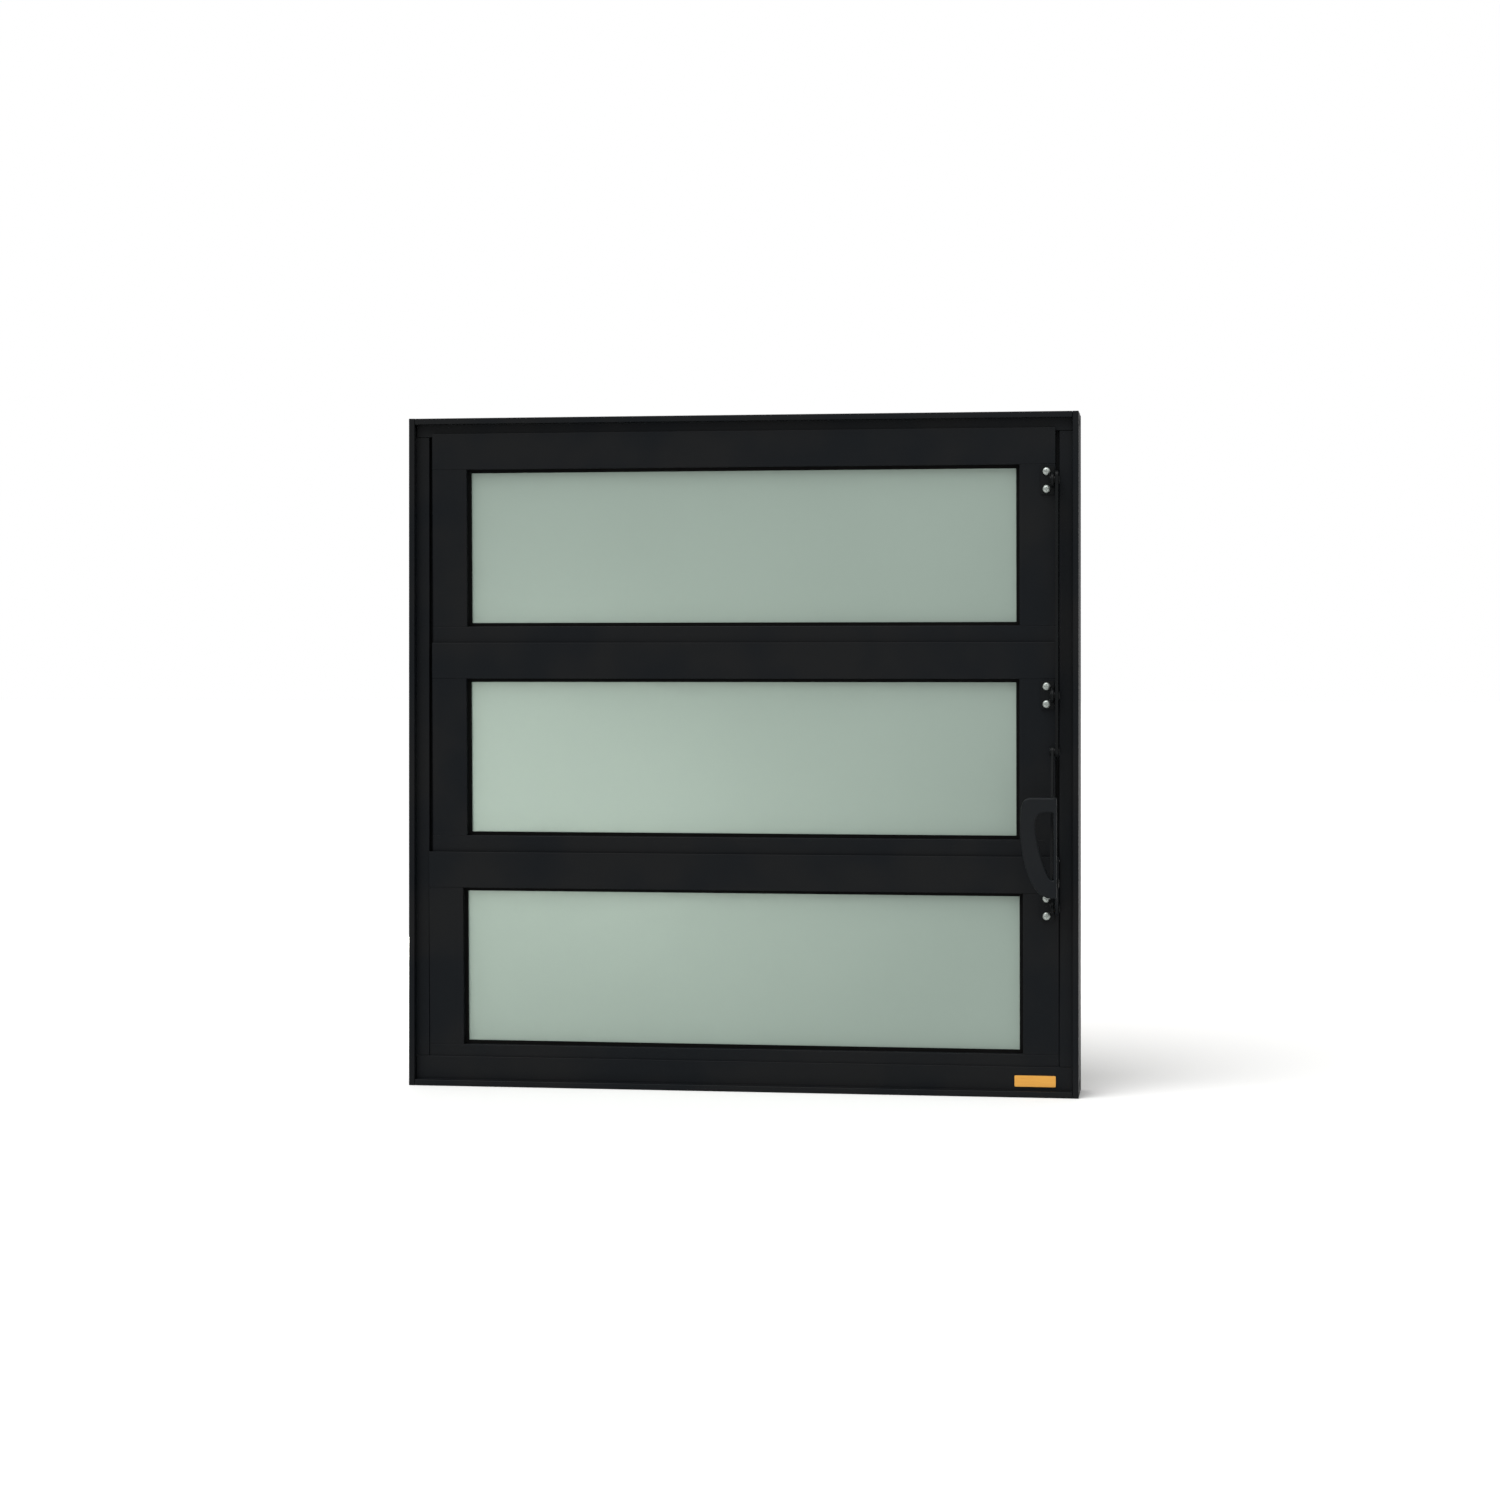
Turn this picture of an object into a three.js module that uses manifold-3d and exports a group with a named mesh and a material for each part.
// A tilting-light window of extruded aluminium, 600 by 600 mm: a frame, two glazed lights that tilt
// together on side pivots, a fixed glazed light below them, and the lever, link and rod that work them.
//
// Millimetres. X runs to the right as the window is seen from inside the room, Y runs outdoors and Z up.
// The origin is the middle of the sill's underside, half way through the frame's depth.

import * as THREE from 'three';
import { mergeVertices } from 'three/addons/utils/BufferGeometryUtils.js';
import Module from 'manifold-3d';

const wasm = await Module();
wasm.setup();

// ---------------------------------------------------------------------------------------------
// Driving dimensions
// ---------------------------------------------------------------------------------------------

// Whole window
const WINDOW_WIDTH = 600;
const WINDOW_HEIGHT = 600;
const FRAME_DEPTH = 58;

// Clearances
const JOINT_GAP = 0.3; // between pieces that butt, lie on each other or pass through a fixed hole
const PIN_GAP = 0.3; // round a turning pin, on the radius
const SIDE_GAP = 3.3; // between a tilting light and the jamb's inner face
const RIB_GAP = 0.6; // between a tilting light and the jamb's draught rib
const ROD_GAP = 0.4; // each side of the pull rod, which runs in the side gap
const STACK_GAP = 1.5; // between the bodies of two lights, one above the other
const FOOT_GAP = 0.9; // under the fixed light

// Frame extrusions
const WALL = 1.5;
const LIP_WIDTH = 5.3;
const LIP_REACH = 8; // how far the lip stands in front of the frame's face
const JAMB_FACE = 17; // lip and face together, as seen from inside
const HEAD_FACE = 16.4;
const SILL_FACE = 26;
const SILL_STEP = 1; // the sill's face stands this far in front of the jambs' faces
const SILL_UPSTAND = 7.2; // flange that covers the foot of the fixed light
const STOP_HEIGHT = 6; // rib behind the lights, at the head and at the sill
const SILL_FALL = 7.5; // how far the outdoor side of the sill slopes down
const ANCHOR_GROOVE = { from: 10, width: 12, depth: 3 }; // wall-anchor groove in the frame's outer faces
const RIB = { from: -13.3, depth: 16.3 }; // draught rib on each jamb, beside the lights
const PORT = { width: 7.4, places: [-12, 2] }; // solid webs in head and sill that take the corner screws
const WEEP = { places: [-150, 150], length: 24, height: 4 }; // drain slots in the sill's outdoor face
const EDGE_ROUND = 0.8;

// Lights: glazed leaves, the lowest one fixed
const TILTING_LIGHTS = ['upper', 'lower'];
const FIXED_LIGHT = 'fixed';
const LIGHT_DEPTH = 20;
const STILE_WIDTH = 31.5;
const TOP_RAIL = 32.25; // with its lap lip
const BOTTOM_RAIL = 17.2;
const LAP = { rise: 4.5, thick: 2.8, gap: 0.6 }; // lip on the top rail, and the gap behind it
const LAP_OVER_HEAD = 3.05; // how much of the top lip covers the head's face
const COVER = { depth: 5.2 }; // side flange of the fixed light, which closes the side gap
const FACE_ROUND = 0.6;

// Glazing
const GLASS = { thick: 4, setback: 8 };
const GROOVE_DEPTH = 8;
const GASKET = { wall: 0.9, base: 1.2, show: 3.2 };

// Pivots of the tilting lights
const PIVOT = { belowTop: 70.35, behindFace: 14, radius: 3.2, inStile: 18, inJamb: 9 };
const BUSH = { wall: 1.2, length: 10 };

// Linkage: three equal brackets, the lowest one carrying the lever
const ARM_UP = 24; // from a light's pivot up to its bracket pin
const FIXED_BRACKET_RISE = 2.6; // how much higher the fixed light's bracket sits
const PIN_OUT = 10.5; // from the light's face out to the bracket pin
const BRACKET = { width: 12, height: 24.6, thick: 2, ear: 2, earRadius: 6.5, inset: 1.1 };
const SCREW = { inset: 7.7, spacing: 15.5, head: 3.5, headHeight: 2.4, shank: 1.9, length: 8 };
const RIVET = { shank: 2.4, head: 4.2, headHeight: 1.4, collar: 3.8 };
const ROD = { width: 10, thick: 2.5, overhang: 3.3, tail: 49 };
const LINK = { width: 10, thick: 2 };

// Lever: hub, spine in the rod's plane, and a D-shaped grip in front
const LEVER = { hub: 6.5, spineDepth: 12, gripThick: 7, gripGap: 1.2, gripWidth: 30.4 };
const GRIP = { foot: 11.2, head: 97.9, armHeight: 13, footHeight: 15.7 };

// Corner screws and maker's plate
const CORNER_SCREW = { head: 3.6, headHeight: 1.7, shank: 1.9, length: 20 };
const PLATE = { width: 36, height: 9.8, thick: 0.8, fromSide: 38.1, above: 13.5 };

// ---------------------------------------------------------------------------------------------
// Places worked out from the driving dimensions
// ---------------------------------------------------------------------------------------------

const halfWidth = WINDOW_WIDTH / 2;
const front = -FRAME_DEPTH / 2;
const back = FRAME_DEPTH / 2;
const face = front + LIP_REACH;
const openingSide = halfWidth - JAMB_FACE;
const headUnder = WINDOW_HEIGHT - HEAD_FACE;
const sillBed = SILL_FACE - SILL_UPSTAND;
const lightSide = openingSide - SIDE_GAP;

// The lights are stacked from the head to the sill at one even pitch.
const topEdge = headUnder + LAP_OVER_HEAD;
const lapped = LAP.rise - STACK_GAP - JOINT_GAP;
const bottomEdge = sillBed + FOOT_GAP;
const lightNames = [...TILTING_LIGHTS, FIXED_LIGHT];
const pitch = (topEdge - lapped - bottomEdge) / lightNames.length;
const lightHeight = pitch + lapped;

// Each light leans: its top laps in front of what is above it, its foot stands behind what is below it.
const lapFront = face - LAP.gap - LAP.thick;
const sillFace = face - SILL_STEP;
const flangeBack = sillFace + WALL;
const lean = Math.asin((flangeBack + JOINT_GAP - lapFront) / (lightHeight - SILL_UPSTAND));

// One light in its own frame: origin on the pivot axis, y through its thickness, z up its height.
const lightFace = -PIVOT.behindFace;
const lightBack = lightFace + LIGHT_DEPTH;
const lipTop = PIVOT.belowTop;
const bodyTop = lipTop - LAP.rise;
const sightTop = lipTop - TOP_RAIL;
const lightFoot = lipTop - lightHeight;
const sightFoot = lightFoot + BOTTOM_RAIL;
const glassFront = lightFace + GLASS.setback;
const glassBack = glassFront + GLASS.thick;
const grooveFront = glassFront - JOINT_GAP * 2 - GASKET.wall;
const grooveBack = glassBack + JOINT_GAP * 2 + GASKET.wall;
const pivotY = lapFront - lightFace * Math.cos(lean) + lipTop * Math.sin(lean);
const bracketPin = new THREE.Vector2(lightFace - PIN_OUT, ARM_UP);

// The rod, the bracket ears and the link stand in two planes beside the lights' right edge.
const earFace = lightSide - BRACKET.inset;
const rodFace = lightSide + ROD_GAP;
const screwX = earFace + BRACKET.inset - SCREW.inset;

/** A light's pivot height, counted from the top light down. */
function pivotHeight(index) {
  return topEdge - PIVOT.belowTop - index * pitch;
}

/** Rise of a light's bracket, along its stile, above the place that it has on a tilting light. */
function bracketRise(index) {
  return index < TILTING_LIGHTS.length ? 0 : FIXED_BRACKET_RISE;
}

/** Where a light's bracket pin stands in the window's own y and z. */
function pinPlace(index) {
  const raised = bracketPin.clone().add(new THREE.Vector2(0, bracketRise(index)));
  const turned = raised.rotateAround(new THREE.Vector2(), lean);
  return turned.add(new THREE.Vector2(pivotY, pivotHeight(index)));
}

// ---------------------------------------------------------------------------------------------
// Shapes and solids
// ---------------------------------------------------------------------------------------------

const OVER = 1; // how far a cutting tool runs past what it cuts
const X = new THREE.Vector3(1, 0, 0);
const Y = new THREE.Vector3(0, 1, 0);
const Z = new THREE.Vector3(0, 0, 1);
const ALONG = {
  x: new THREE.Matrix4().makeBasis(Y, Z, X), // drawn in y and z
  y: new THREE.Matrix4().makeBasis(X, Z, Y.clone().negate()), // drawn in x and z, growing indoors
  z: new THREE.Matrix4(), // drawn in x and y
};

/** A point on the way from one corner to another. */
function towards([u, v], [toU, toV], distance) {
  const length = Math.hypot(toU - u, toV - v);
  return [u + ((toU - u) * distance) / length, v + ((toV - v) * distance) / length];
}

/** Draws [u, v, round] corners as a closed path, with the rounded corners as curves. */
function outline(corners) {
  const path = new THREE.Shape();
  corners.forEach((corner, i) => {
    const round = corner[2] ?? 0;
    const start = towards(corner, corners.at(i - 1), round);
    const end = towards(corner, corners[(i + 1) % corners.length], round);
    if (i === 0) path.moveTo(...start);
    else path.lineTo(...start);
    if (round) path.quadraticCurveTo(corner[0], corner[1], ...end);
  });
  path.closePath();
  return path;
}

/** A four-cornered outline between two opposite corners. */
function rectangle(u0, v0, u1, v1, round = 0) {
  return [[u0, v0, round], [u1, v0, round], [u1, v1, round], [u0, v1, round]];
}

function circle(u, v, radius) {
  return new THREE.Path().absarc(u, v, radius, 0, 2 * Math.PI);
}

/** Extrudes a shape from one place to another along x, y (indoors) or z. */
function extrude(axis, shape, from, to, curveSegments = 3) {
  const depth = Math.abs(to - from);
  const start = axis === 'y' ? -Math.max(from, to) : Math.min(from, to);
  const solid = new THREE.ExtrudeGeometry(shape, { depth, curveSegments, bevelEnabled: false });
  return solid.translate(0, 0, start).applyMatrix4(ALONG[axis]);
}

/** A block between two opposite corners. */
function block(x0, y0, z0, x1, y1, z1) {
  const solid = new THREE.BoxGeometry(Math.abs(x1 - x0), Math.abs(y1 - y0), Math.abs(z1 - z0));
  return solid.translate((x0 + x1) / 2, (y0 + y1) / 2, (z0 + z1) / 2);
}

/** A round rod along x or y. */
function rod(axis, radius, from, to, at, segments = 24) {
  const solid = new THREE.CylinderGeometry(radius, radius, Math.abs(to - from), segments);
  if (axis === 'x') {
    solid.rotateZ(-Math.PI / 2);
    return solid.translate((from + to) / 2, at[0], at[1]);
  }
  return solid.translate(at[0], (from + to) / 2, at[1]);
}

/** Turns a [radius, place] profile about the x axis. */
function turned(profile, segments = 20) {
  const points = profile.map(([radius, place]) => new THREE.Vector2(radius, place));
  return new THREE.LatheGeometry(points, segments).rotateZ(-Math.PI / 2);
}

function toSolid(geometry) {
  const bare = geometry.clone();
  bare.deleteAttribute('normal');
  bare.deleteAttribute('uv');
  const merged = mergeVertices(bare, 1e-4);
  const triVerts = new Uint32Array(merged.index.array);
  const vertProperties = merged.attributes.position.array;
  return new wasm.Manifold(new wasm.Mesh({ numProp: 3, vertProperties, triVerts }));
}

function toGeometry(solid) {
  const mesh = solid.getMesh();
  const geometry = new THREE.BufferGeometry();
  geometry.setAttribute('position', new THREE.BufferAttribute(mesh.vertProperties, 3));
  geometry.setIndex(new THREE.BufferAttribute(mesh.triVerts, 1));
  return geometry;
}

function cut(geometry, ...tools) {
  return toGeometry(tools.reduce((solid, tool) => solid.subtract(toSolid(tool)), toSolid(geometry)));
}

/** An extrusion with chambers that run right through it, less any further cuts. */
function hollowBar(axis, corners, chambers, from, to, ...cuts) {
  const hollows = chambers.map((chamber) => extrude(axis, outline(chamber), from - OVER, to + OVER));
  return cut(extrude(axis, outline(corners), from, to), ...hollows, ...cuts);
}

function join(geometry, ...others) {
  return toGeometry(others.reduce((solid, other) => solid.add(toSolid(other)), toSolid(geometry)));
}

// ---------------------------------------------------------------------------------------------
// Materials and named pieces
// ---------------------------------------------------------------------------------------------

const FINISH = {
  frame: { color: 0x1d1f21, roughness: 0.45, metalness: 0.3 },
  light: { color: 0x1f2123, roughness: 0.45, metalness: 0.3 },
  glass: { color: 0xa2b3a7, roughness: 0.2, metalness: 0 },
  rubber: { color: 0x0a0b0b, roughness: 0.85, metalness: 0 },
  linkage: { color: 0x191b1c, roughness: 0.5, metalness: 0.4 },
  lever: { color: 0x1c1e1f, roughness: 0.4, metalness: 0.2 },
  zinc: { color: 0xc9ccce, roughness: 0.3, metalness: 1 },
  nylon: { color: 0x2a2b2c, roughness: 0.6, metalness: 0 },
  gold: { color: 0xdda040, roughness: 0.35, metalness: 0.5 },
};

function piece(name, geometry, finish) {
  const mesh = new THREE.Mesh(geometry, new THREE.MeshStandardMaterial(FINISH[finish]));
  mesh.name = name;
  return mesh;
}

const SIDES = { left: -1, right: 1 };

// ---------------------------------------------------------------------------------------------
// Frame
// ---------------------------------------------------------------------------------------------

/** Countersunk screw along x, its head's flat face at place 0 and its point at minus the length. */
function cornerScrewProfile(gap = 0) {
  const { head, headHeight, shank, length } = CORNER_SCREW;
  return [
    [0, -length - gap],
    [shank + gap, -length - gap],
    [shank + gap, -headHeight],
    [head + gap, 0],
    [head + gap, gap],
    [0, gap],
  ];
}

/** The y and z of each corner screw. */
function cornerScrewPlaces() {
  const heights = { sill: sillBed / 2, head: WINDOW_HEIGHT - HEAD_FACE / 2 };
  return Object.entries(heights).flatMap(([member, z]) =>
    PORT.places.map((y, i) => ({ name: `${member}_screw_${i + 1}`, y, z })),
  );
}

function makeJamb(side) {
  const s = SIDES[side];
  const lipInner = halfWidth - LIP_WIDTH;
  const ribInner = lightSide + RIB_GAP;
  const ribBack = RIB.from + RIB.depth;
  const grooveEnd = ANCHOR_GROOVE.from + ANCHOR_GROOVE.width;
  const grooveFloor = halfWidth - ANCHOR_GROOVE.depth;
  const corners = [
    [s * halfWidth, front, EDGE_ROUND],
    [s * lipInner, front, EDGE_ROUND],
    [s * lipInner, face],
    [s * openingSide, face, FACE_ROUND],
    [s * openingSide, RIB.from],
    [s * ribInner, RIB.from],
    [s * ribInner, ribBack],
    [s * openingSide, ribBack],
    [s * openingSide, back, FACE_ROUND],
    [s * halfWidth, back, FACE_ROUND],
    [s * halfWidth, grooveEnd],
    [s * grooveFloor, grooveEnd],
    [s * grooveFloor, ANCHOR_GROOVE.from],
    [s * halfWidth, ANCHOR_GROOVE.from],
  ];
  const outerWall = halfWidth - WALL;
  const chamber = [
    [s * outerWall, front + WALL],
    [s * (lipInner + WALL), front + WALL],
    [s * (lipInner + WALL), face + WALL],
    [s * (openingSide + WALL), face + WALL],
    [s * (openingSide + WALL), back - WALL],
    [s * outerWall, back - WALL],
    [s * outerWall, grooveEnd + WALL],
    [s * (grooveFloor - WALL), grooveEnd + WALL],
    [s * (grooveFloor - WALL), ANCHOR_GROOVE.from - WALL],
    [s * outerWall, ANCHOR_GROOVE.from - WALL],
  ];
  const notch = (z0, z1) => block(s * (ribInner - OVER), front - OVER, z0, s * lipInner, back + OVER, z1);
  const tools = [
    notch(-OVER, SILL_FACE + JOINT_GAP),
    notch(headUnder - JOINT_GAP, WINDOW_HEIGHT + OVER),
  ];
  TILTING_LIGHTS.forEach((_, i) => {
    const radius = PIVOT.radius + PIN_GAP + BUSH.wall + JOINT_GAP;
    const reach = openingSide + WALL + OVER;
    tools.push(rod('x', radius, s * (ribInner - OVER), s * reach, [pivotY, pivotHeight(i)]));
  });
  cornerScrewPlaces().forEach(({ y, z }) => {
    const hole = turned(cornerScrewProfile(JOINT_GAP), 16);
    if (s < 0) hole.rotateZ(Math.PI);
    tools.push(hole.translate(s * halfWidth, y, z));
  });
  return piece(`jamb_${side}`, hollowBar('z', corners, [chamber], 0, WINDOW_HEIGHT, ...tools), 'frame');
}

/** Head or sill, cut between the jambs' lips, with its hollow chambers and the holes for its screws. */
function makeCrossMember(name, corners, chambers, portHeight, cuts = []) {
  const end = halfWidth - LIP_WIDTH - JOINT_GAP;
  const radius = CORNER_SCREW.shank + JOINT_GAP;
  const ports = PORT.places.map((y) => rod('x', radius, -end - OVER, end + OVER, [y, portHeight], 12));
  return piece(name, hollowBar('x', corners, chambers, -end, end, ...ports, ...cuts), 'frame');
}

function makeHead() {
  const top = WINDOW_HEIGHT;
  const lipUnder = top - LIP_WIDTH;
  const stopFront = pivotY + lightBack - bodyTop * Math.sin(lean) + JOINT_GAP * 2;
  const stopBack = stopFront + WALL;
  const stopFoot = headUnder - STOP_HEIGHT;
  const grooveEnd = ANCHOR_GROOVE.from + ANCHOR_GROOVE.width;
  const grooveFloor = top - ANCHOR_GROOVE.depth;
  const corners = [
    [front, top, EDGE_ROUND],
    [front, lipUnder, EDGE_ROUND],
    [face, lipUnder],
    [face, headUnder, FACE_ROUND],
    [stopFront, headUnder],
    [stopFront, stopFoot],
    [stopBack, stopFoot],
    [stopBack, headUnder],
    [back, headUnder, FACE_ROUND],
    [back, top, FACE_ROUND],
    [grooveEnd, top],
    [grooveEnd, grooveFloor],
    [ANCHOR_GROOVE.from, grooveFloor],
    [ANCHOR_GROOVE.from, top],
  ];
  const floor = headUnder + WALL;
  const ceiling = top - WALL;
  const [firstWeb, secondWeb] = PORT.places;
  const half = PORT.width / 2;
  const chambers = [
    [
      [firstWeb - half, floor],
      [firstWeb - half, ceiling],
      [front + WALL, ceiling],
      [front + WALL, lipUnder + WALL],
      [face + WALL, lipUnder + WALL],
      [face + WALL, floor],
    ],
    rectangle(firstWeb + half, floor, secondWeb - half, ceiling),
    [
      [secondWeb + half, ceiling],
      [secondWeb + half, floor],
      [back - WALL, floor],
      [back - WALL, ceiling],
      [grooveEnd + WALL, ceiling],
      [grooveEnd + WALL, grooveFloor - WALL],
      [ANCHOR_GROOVE.from - WALL, grooveFloor - WALL],
      [ANCHOR_GROOVE.from - WALL, ceiling],
    ],
  ];
  const stopEnd = lightSide + RIB_GAP - JOINT_GAP;
  const stopTrims = Object.values(SIDES).map((s) =>
    block(s * stopEnd, stopFront - OVER, stopFoot - OVER, s * halfWidth, stopBack + OVER, headUnder),
  );
  return makeCrossMember('head', corners, chambers, top - HEAD_FACE / 2, stopTrims);
}

function makeSill() {
  const stopFront = pivotY + lightBack - lightFoot * Math.sin(lean) + JOINT_GAP * 2;
  const stopBack = stopFront + WALL;
  const slope = (y) => sillBed - (SILL_FALL * (y - stopBack)) / (back - stopBack);
  const grooveEnd = ANCHOR_GROOVE.from + ANCHOR_GROOVE.width;
  const corners = [
    [front, 0, EDGE_ROUND],
    [front, LIP_WIDTH, EDGE_ROUND],
    [sillFace, LIP_WIDTH],
    [sillFace, SILL_FACE, FACE_ROUND],
    [flangeBack, SILL_FACE],
    [flangeBack, sillBed],
    [stopFront, sillBed],
    [stopFront, sillBed + STOP_HEIGHT],
    [stopBack, sillBed + STOP_HEIGHT],
    [stopBack, sillBed],
    [back, slope(back), FACE_ROUND],
    [back, 0, FACE_ROUND],
    [grooveEnd, 0],
    [grooveEnd, ANCHOR_GROOVE.depth],
    [ANCHOR_GROOVE.from, ANCHOR_GROOVE.depth],
    [ANCHOR_GROOVE.from, 0],
  ];
  const ceiling = sillBed - WALL;
  const chamberTop = (y) => slope(y) - WALL;
  const [firstWeb, secondWeb] = PORT.places;
  const half = PORT.width / 2;
  const chambers = [
    [
      [firstWeb - half, WALL],
      [firstWeb - half, ceiling],
      [flangeBack, ceiling],
      [flangeBack, LIP_WIDTH - WALL],
      [front + WALL, LIP_WIDTH - WALL],
      [front + WALL, WALL],
    ],
    rectangle(firstWeb + half, WALL, secondWeb - half, ceiling),
    [
      [secondWeb + half, WALL],
      [ANCHOR_GROOVE.from - WALL, WALL],
      [ANCHOR_GROOVE.from - WALL, ANCHOR_GROOVE.depth + WALL],
      [grooveEnd + WALL, ANCHOR_GROOVE.depth + WALL],
      [grooveEnd + WALL, WALL],
      [back - WALL, WALL],
      [back - WALL, chamberTop(back - WALL)],
      [secondWeb + half, chamberTop(secondWeb + half)],
    ],
  ];
  const weepFoot = ANCHOR_GROOVE.depth + WALL;
  const weepTop = weepFoot + WEEP.height;
  const weeps = WEEP.places.map((x) =>
    block(x - WEEP.length / 2, back - WALL * 2, weepFoot, x + WEEP.length / 2, back + WALL, weepTop),
  );
  return makeCrossMember('sill', corners, chambers, sillBed / 2, weeps);
}

function makeCornerScrew(side, place) {
  const screw = turned(cornerScrewProfile(), 16).translate(-JOINT_GAP, 0, 0);
  if (SIDES[side] < 0) screw.rotateZ(Math.PI);
  const mesh = piece(`${place.name}_${side}`, screw, 'zinc');
  mesh.position.set(SIDES[side] * halfWidth, place.y, place.z);
  return mesh;
}

function makePlate() {
  const plateBack = sillFace - JOINT_GAP;
  const x = halfWidth - PLATE.fromSide;
  const corners = rectangle(
    x - PLATE.width / 2,
    PLATE.above - PLATE.height / 2,
    x + PLATE.width / 2,
    PLATE.above + PLATE.height / 2,
    1,
  );
  return piece('makers_plate', extrude('y', outline(corners), plateBack, plateBack - PLATE.thick), 'gold');
}

function makeFrame() {
  const frame = new THREE.Group();
  frame.add(makeHead(), makeSill(), makePlate());
  Object.keys(SIDES).forEach((side) => {
    frame.add(makeJamb(side));
    cornerScrewPlaces().forEach((place) => frame.add(makeCornerScrew(side, place)));
  });
  return frame;
}

// ---------------------------------------------------------------------------------------------
// Lights
// ---------------------------------------------------------------------------------------------

/** Side places of a light: the fixed one is wider by the cover flange that closes the side gap. */
function lightSides(isFixed) {
  const cover = isFixed ? openingSide - JOINT_GAP : lightSide;
  return { body: lightSide, cover, sight: cover - STILE_WIDTH };
}

/** Blocks that remove the back of a fixed light's cover flange, beside the jambs' draught ribs. */
function coverRelief(sides) {
  if (sides.cover === sides.body) return [];
  const flangeBack = lightFace + COVER.depth;
  const foot = lightFoot - OVER;
  const top = lipTop + OVER;
  return Object.values(SIDES).map((s) =>
    block(s * sides.body, flangeBack, foot, s * (sides.cover + OVER), lightBack + OVER, top),
  );
}

function makeRail(name, sides, corners, chamber) {
  const relief = coverRelief(sides);
  return piece(name, hollowBar('x', corners, [chamber], -sides.cover, sides.cover, ...relief), 'light');
}

function makeTopRail(name, sides) {
  const grooveTop = sightTop + GROOVE_DEPTH;
  const corners = [
    [lightFace, sightTop, FACE_ROUND],
    [lightFace, lipTop, FACE_ROUND],
    [lightFace + LAP.thick, lipTop, FACE_ROUND],
    [lightFace + LAP.thick, bodyTop],
    [lightBack, bodyTop, FACE_ROUND],
    [lightBack, sightTop, FACE_ROUND],
    [grooveBack, sightTop],
    [grooveBack, grooveTop],
    [grooveFront, grooveTop],
    [grooveFront, sightTop],
  ];
  const chamber = rectangle(lightFace + WALL, grooveTop + WALL, lightBack - WALL, bodyTop - WALL);
  return makeRail(`${name}_top_rail`, sides, corners, chamber);
}

function makeBottomRail(name, sides) {
  const grooveFloor = sightFoot - GROOVE_DEPTH;
  const corners = [
    [lightFace, lightFoot, FACE_ROUND],
    [lightFace, sightFoot, FACE_ROUND],
    [grooveFront, sightFoot],
    [grooveFront, grooveFloor],
    [grooveBack, grooveFloor],
    [grooveBack, sightFoot],
    [lightBack, sightFoot, FACE_ROUND],
    [lightBack, lightFoot, FACE_ROUND],
  ];
  const chamber = rectangle(lightFace + WALL, lightFoot + WALL, lightBack - WALL, grooveFloor - WALL);
  return makeRail(`${name}_bottom_rail`, sides, corners, chamber);
}

/** Heights of a bracket's two screws in the light's own frame. */
const screwHeights = [ARM_UP + SCREW.spacing / 2, ARM_UP - SCREW.spacing / 2];

function makeStile(name, side, sides, tilts, rise) {
  const s = SIDES[side];
  const grooveEnd = sides.sight + GROOVE_DEPTH;
  const corners = [
    [s * sides.cover, lightFace, FACE_ROUND],
    [s * sides.sight, lightFace, FACE_ROUND],
    [s * sides.sight, grooveFront],
    [s * grooveEnd, grooveFront],
    [s * grooveEnd, grooveBack],
    [s * sides.sight, grooveBack],
    [s * sides.sight, lightBack, FACE_ROUND],
    [s * sides.cover, lightBack, FACE_ROUND],
  ];
  const chamberFront = lightFace + WALL;
  const chamber = rectangle(s * (grooveEnd + WALL), chamberFront, s * (sides.body - WALL), lightBack - WALL);
  const tools = coverRelief(sides);
  if (tilts) {
    const inner = s * (sides.body - WALL - OVER);
    tools.push(rod('x', PIVOT.radius + JOINT_GAP, inner, s * (sides.body + OVER), [0, 0]));
  }
  if (side === 'right') {
    screwHeights.forEach((z) => {
      const place = [screwX, z + rise];
      tools.push(rod('y', SCREW.shank + JOINT_GAP, lightFace - OVER, chamberFront + OVER, place, 12));
    });
  }
  const foot = sightFoot + JOINT_GAP;
  const head = sightTop - JOINT_GAP;
  return piece(`${name}_stile_${side}`, hollowBar('z', corners, [chamber], foot, head, ...tools), 'light');
}

/** Outer half width, foot and head of the space a pane and its gasket take, less a margin. */
function glazingSpace(sides, margin) {
  return {
    x: sides.sight + GROOVE_DEPTH - margin,
    foot: sightFoot - GROOVE_DEPTH + margin,
    head: sightTop + GROOVE_DEPTH - margin,
  };
}

function makeGlass(name, sides) {
  const edge = glazingSpace(sides, JOINT_GAP * 2 + GASKET.base);
  const pane = block(-edge.x, glassFront, edge.foot, edge.x, glassBack, edge.head);
  return piece(`${name}_glass`, pane, 'glass');
}

/** A U-shaped rubber ring round the pane's edge. */
function makeGasket(name, sides) {
  const outer = glazingSpace(sides, JOINT_GAP);
  const slot = glazingSpace(sides, JOINT_GAP + GASKET.base);
  const shown = glazingSpace(sides, GROOVE_DEPTH + GASKET.show);
  const gasketFront = grooveFront + JOINT_GAP;
  const gasketBack = grooveBack - JOINT_GAP;
  const ring = block(-outer.x, gasketFront, outer.foot, outer.x, gasketBack, outer.head);
  const window = block(-shown.x, gasketFront - OVER, shown.foot, shown.x, gasketBack + OVER, shown.head);
  const paneSlot = block(
    -slot.x,
    gasketFront + GASKET.wall,
    slot.foot,
    slot.x,
    gasketBack - GASKET.wall,
    slot.head,
  );
  return piece(`${name}_gasket`, cut(ring, window, paneSlot), 'rubber');
}

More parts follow.
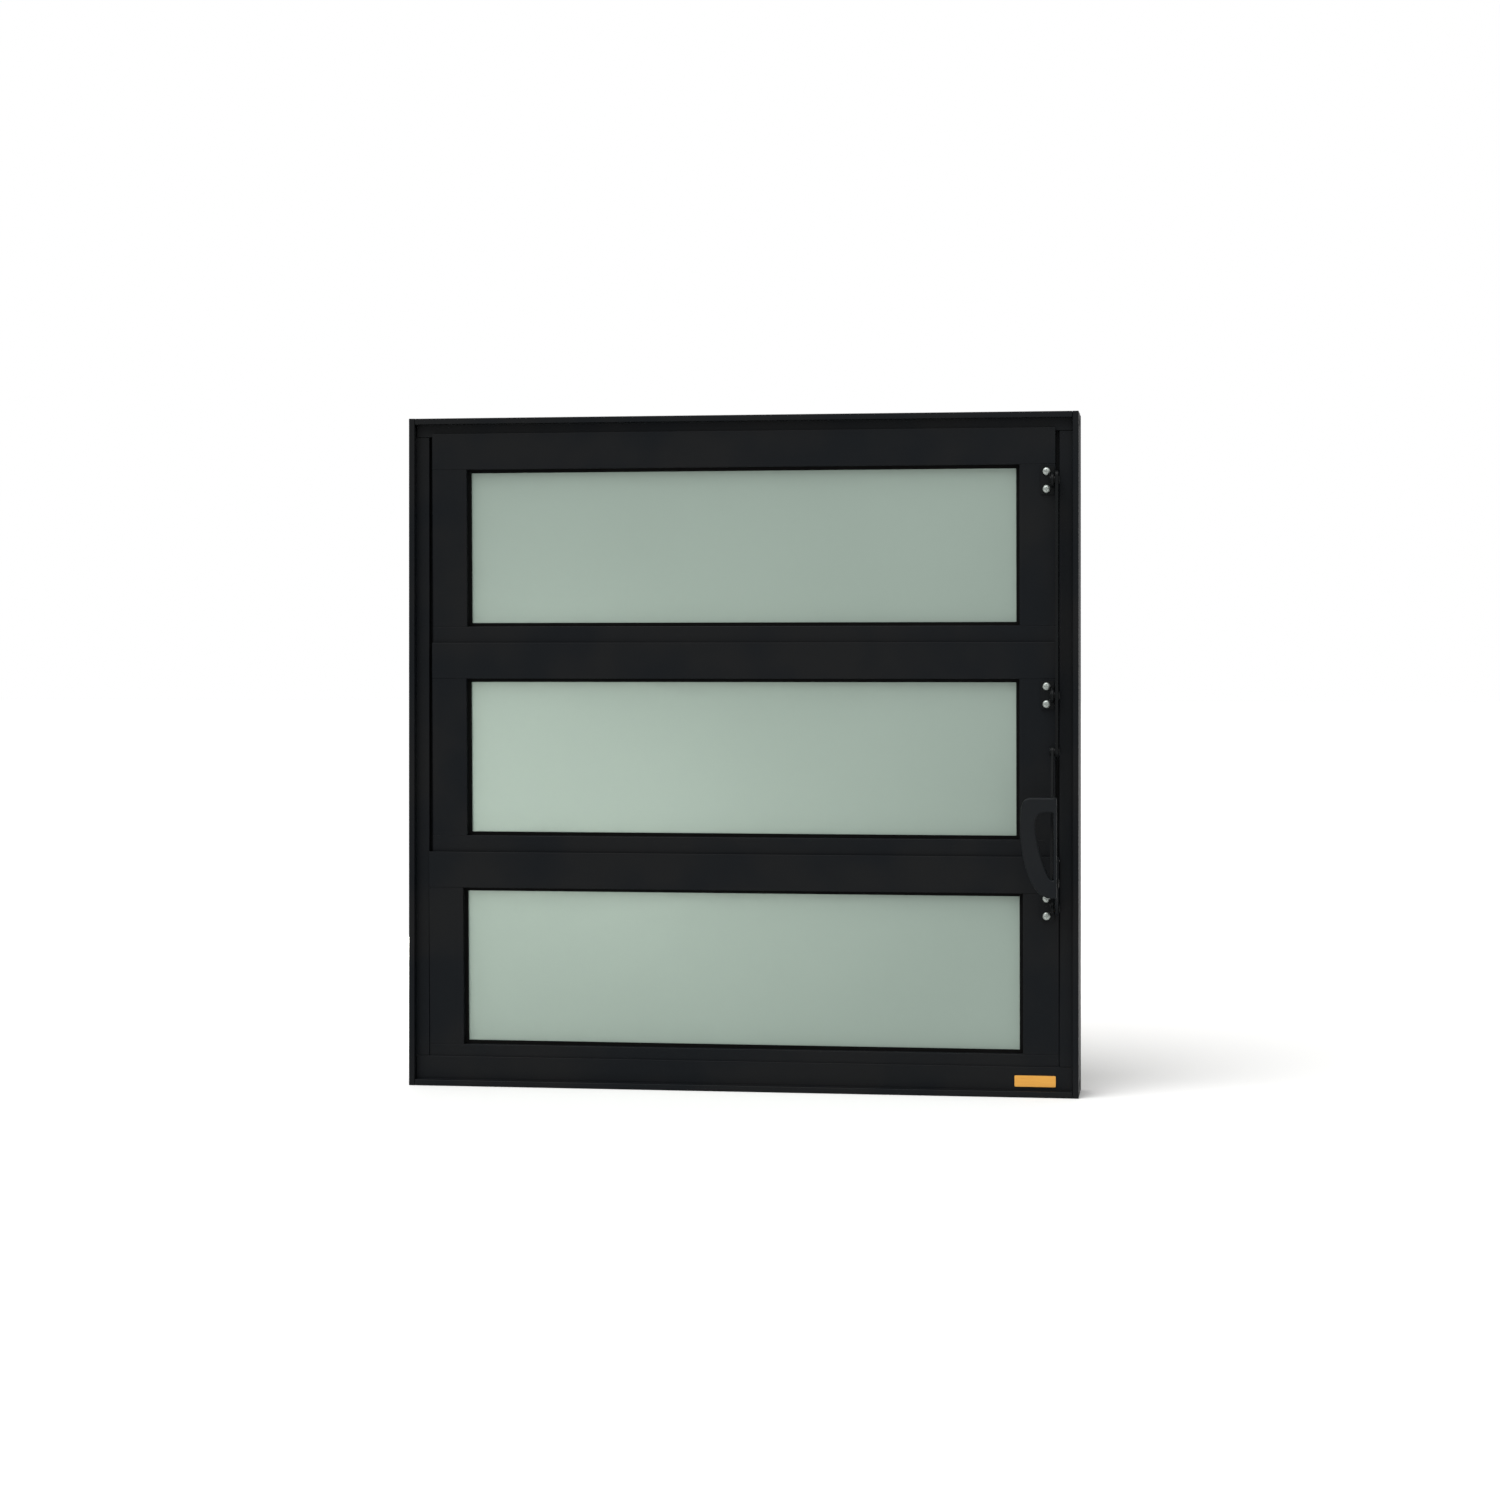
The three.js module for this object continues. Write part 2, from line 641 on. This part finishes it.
function makePivotPin(name, side) {
  const s = SIDES[side];
  const pin = rod('x', PIVOT.radius, s * (lightSide - PIVOT.inStile), s * (lightSide + PIVOT.inJamb), [0, 0]);
  return piece(`${name}_pivot_pin_${side}`, pin, 'zinc');
}

/** Bush pressed into the jamb, in window coordinates. */
function makePivotBush(name, side, index) {
  const bore = PIVOT.radius + PIN_GAP;
  const start = lightSide + RIB_GAP;
  const profile = [
    [bore, start],
    [bore + BUSH.wall, start],
    [bore + BUSH.wall, start + BUSH.length],
    [bore, start + BUSH.length],
    [bore, start],
  ];
  const bush = turned(profile, 24);
  if (SIDES[side] < 0) bush.rotateZ(Math.PI);
  const mesh = piece(`${name}_pivot_bush_${side}`, bush, 'nylon');
  mesh.position.set(0, pivotY, pivotHeight(index));
  return mesh;
}

/** Pressed bracket: a base plate on the stile and an ear that carries the pin. */
function makeBracket(name) {
  const baseBack = lightFace - JOINT_GAP;
  const baseFront = baseBack - BRACKET.thick;
  const half = BRACKET.height / 2;
  const left = earFace - BRACKET.width;
  const plate = outline(rectangle(left, ARM_UP - half, earFace, ARM_UP + half, 1.5));
  const base = extrude('y', plate, baseBack, baseFront);
  const [pinY, pinZ] = bracketPin.toArray();
  const ear = new THREE.Shape();
  ear.moveTo(baseBack, pinZ + BRACKET.earRadius);
  ear.lineTo(pinY, pinZ + BRACKET.earRadius);
  ear.absarc(pinY, pinZ, BRACKET.earRadius, Math.PI / 2, 1.5 * Math.PI);
  ear.lineTo(baseBack, pinZ - BRACKET.earRadius);
  ear.closePath();
  const flange = extrude('x', ear, earFace - BRACKET.ear, earFace, 7);
  const holes = screwHeights.map((z) =>
    rod('y', SCREW.shank + JOINT_GAP, baseFront - OVER, baseBack + OVER, [screwX, z], 12),
  );
  holes.push(rod('x', RIVET.shank + JOINT_GAP, earFace - BRACKET.ear - OVER, earFace + OVER, [pinY, pinZ]));
  return piece(`${name}_bracket`, cut(join(base, flange), ...holes), 'linkage');
}

/** Pan-head cross-recess screw along y, its head indoors. */
function makeBracketScrew(name, index) {
  const seat = lightFace - JOINT_GAP * 2 - BRACKET.thick;
  const top = seat - SCREW.headHeight;
  const profile = [
    [0, top],
    [SCREW.head * 0.55, top + SCREW.headHeight * 0.08],
    [SCREW.head * 0.88, top + SCREW.headHeight * 0.35],
    [SCREW.head, top + SCREW.headHeight * 0.7],
    [SCREW.head, seat],
    [SCREW.shank, seat],
    [SCREW.shank, seat + SCREW.length],
    [0, seat + SCREW.length + SCREW.shank],
  ];
  const points = profile.map(([radius, place]) => new THREE.Vector2(radius, place));
  const body = new THREE.LatheGeometry(points, 16);
  const slot = { half: SCREW.head * 0.55, wide: 0.45, deep: SCREW.headHeight * 0.5 };
  const recess = [
    block(-slot.half, top - 1, -slot.wide, slot.half, top + slot.deep, slot.wide),
    block(-slot.wide, top - 1, -slot.half, slot.wide, top + slot.deep, slot.half),
  ];
  const mesh = piece(`${name}_bracket_screw_${index + 1}`, cut(body, ...recess), 'zinc');
  mesh.position.set(screwX, 0, screwHeights[index]);
  return mesh;
}

/** Headed rivet along x that ties a piece in the ears' plane to one in the rod's plane. */
function makeRivet(name) {
  const { shank, head, headHeight, collar } = RIVET;
  const inner = earFace - BRACKET.ear - JOINT_GAP;
  const outer = rodFace + ROD.thick + JOINT_GAP;
  const profile = [
    [0, inner - headHeight],
    [head * 0.7, inner - headHeight],
    [head, inner - headHeight * 0.45],
    [head, inner],
    [shank, inner],
    [shank, earFace + JOINT_GAP],
    [collar, earFace + JOINT_GAP],
    [collar, rodFace - JOINT_GAP],
    [shank, rodFace - JOINT_GAP],
    [shank, outer],
    [head, outer],
    [head, outer + headHeight * 0.55],
    [head * 0.7, outer + headHeight],
    [0, outer + headHeight],
  ];
  return piece(name, turned(profile), 'linkage');
}

function makeLight(name, index) {
  const isFixed = name === FIXED_LIGHT;
  const sides = lightSides(isFixed);
  const light = new THREE.Group();
  light.position.set(0, pivotY, pivotHeight(index));
  light.rotation.x = lean;
  light.add(makeTopRail(name, sides), makeBottomRail(name, sides));
  light.add(makeGlass(name, sides), makeGasket(name, sides));
  const rise = bracketRise(index);
  Object.keys(SIDES).forEach((side) => {
    light.add(makeStile(name, side, sides, !isFixed, rise));
    if (!isFixed) light.add(makePivotPin(name, side));
  });
  const fittings = new THREE.Group();
  fittings.position.z = rise;
  fittings.add(makeBracket(name));
  screwHeights.forEach((_, i) => fittings.add(makeBracketScrew(name, i)));
  const pin = makeRivet(isFixed ? 'lever_fulcrum_pin' : `${name}_rod_pin`);
  pin.position.set(0, bracketPin.x, bracketPin.y);
  fittings.add(pin);
  light.add(fittings);
  return light;
}

// ---------------------------------------------------------------------------------------------
// Rod, link and lever
// ---------------------------------------------------------------------------------------------

const fulcrum = pinPlace(lightNames.length - 1);
const crank = bracketPin.clone().rotateAround(new THREE.Vector2(), lean);
const leverPin = fulcrum.clone().add(crank);
const rodTop = pinPlace(0);
const rodLow = pinPlace(TILTING_LIGHTS.length - 1);
const splice = new THREE.Vector2(rodLow.x, rodLow.y - ROD.tail);

/** A round-ended bar from one point to another, drilled at the points given. */
function barShape(a, b, radius, holes) {
  const angle = Math.atan2(b.y - a.y, b.x - a.x);
  const shape = new THREE.Shape();
  shape.absarc(a.x, a.y, radius, angle + Math.PI / 2, angle + 1.5 * Math.PI);
  shape.absarc(b.x, b.y, radius, angle - Math.PI / 2, angle + Math.PI / 2);
  shape.closePath();
  holes.forEach((at) => shape.holes.push(circle(at.x, at.y, RIVET.shank + PIN_GAP)));
  return shape;
}

function makePullRod() {
  const end = rodTop.clone().add(new THREE.Vector2(0, ROD.overhang));
  const shape = barShape(splice, end, ROD.width / 2, [splice, rodLow, rodTop]);
  return piece('pull_rod', extrude('x', shape, rodFace, rodFace + ROD.thick, 7), 'linkage');
}

function makeLink() {
  const shape = barShape(leverPin, splice, LINK.width / 2, [leverPin, splice]);
  return piece('lower_link', extrude('x', shape, earFace - LINK.thick, earFace, 7), 'linkage');
}

/** The D grip in x and z: x from the spine's outer face, z from the fulcrum. */
function gripShape(outerX) {
  const { foot, head, armHeight, footHeight } = GRIP;
  const across = (share) => outerX - LEVER.gripWidth * share;
  const spineInner = outerX - ROD.thick;
  const shape = new THREE.Shape();
  shape.moveTo(outerX, head);
  shape.lineTo(across(0.69), head);
  shape.quadraticCurveTo(across(0.97), head, across(1), head - 9.5);
  shape.bezierCurveTo(across(1.04), head - 24.5, across(1.03), foot + 48, across(0.955), foot + 36);
  shape.bezierCurveTo(across(0.84), foot + 19, across(0.61), foot, across(0.165), foot);
  shape.lineTo(outerX, foot);
  shape.closePath();
  const top = head - armHeight;
  const low = foot + footHeight;
  const hole = new THREE.Path();
  hole.moveTo(spineInner, top);
  hole.lineTo(across(0.33), top);
  hole.bezierCurveTo(across(0.49), top, across(0.6), top - 3.5, across(0.6), top - 9.5);
  hole.bezierCurveTo(across(0.6), top - 21.5, across(0.41), low + 12.5, across(0.21), low + 2.5);
  hole.quadraticCurveTo(across(0.165), low, spineInner, low);
  hole.closePath();
  shape.holes.push(hole);
  return shape;
}

/** Cast lever, in its own frame with the fulcrum at the origin of y and z. */
function makeLever() {
  const outer = rodFace + ROD.thick;
  const gripBack = crank.x - LINK.width / 2 - LEVER.gripGap;
  const gripFront = gripBack - LEVER.gripThick;
  const hub = barShape(new THREE.Vector2(), crank, LEVER.hub, []);
  const spineCorners = [
    [gripFront, GRIP.foot],
    [gripFront + LEVER.spineDepth, GRIP.foot],
    [gripFront + LEVER.spineDepth, GRIP.head, 4],
    [gripFront, GRIP.head],
  ];
  const hole = (at) => rod('x', RIVET.shank + PIN_GAP, rodFace - OVER, outer + OVER, at.toArray());
  const solid = cut(
    join(
      extrude('x', hub, rodFace, outer, 7),
      extrude('x', outline(spineCorners), rodFace, outer),
      extrude('y', gripShape(outer), gripBack, gripFront, 6),
    ),
    hole(new THREE.Vector2()),
    hole(crank),
  );
  const mesh = piece('lever_handle', solid, 'lever');
  mesh.position.set(0, fulcrum.x, fulcrum.y);
  return mesh;
}

function makeLinkage() {
  const linkage = new THREE.Group();
  linkage.add(makePullRod(), makeLink(), makeLever());
  const rivets = { link_splice_rivet: splice, lever_link_pin: leverPin };
  Object.entries(rivets).forEach(([name, at]) => {
    const rivet = makeRivet(name);
    rivet.position.set(0, at.x, at.y);
    linkage.add(rivet);
  });
  return linkage;
}

// ---------------------------------------------------------------------------------------------
// The window
// ---------------------------------------------------------------------------------------------

const tiltingWindow = new THREE.Group();
tiltingWindow.add(makeFrame(), makeLinkage());
lightNames.forEach((name, index) => tiltingWindow.add(makeLight(name, index)));
TILTING_LIGHTS.forEach((name, index) => {
  Object.keys(SIDES).forEach((side) => tiltingWindow.add(makePivotBush(name, side, index)));
});

export default tiltingWindow;
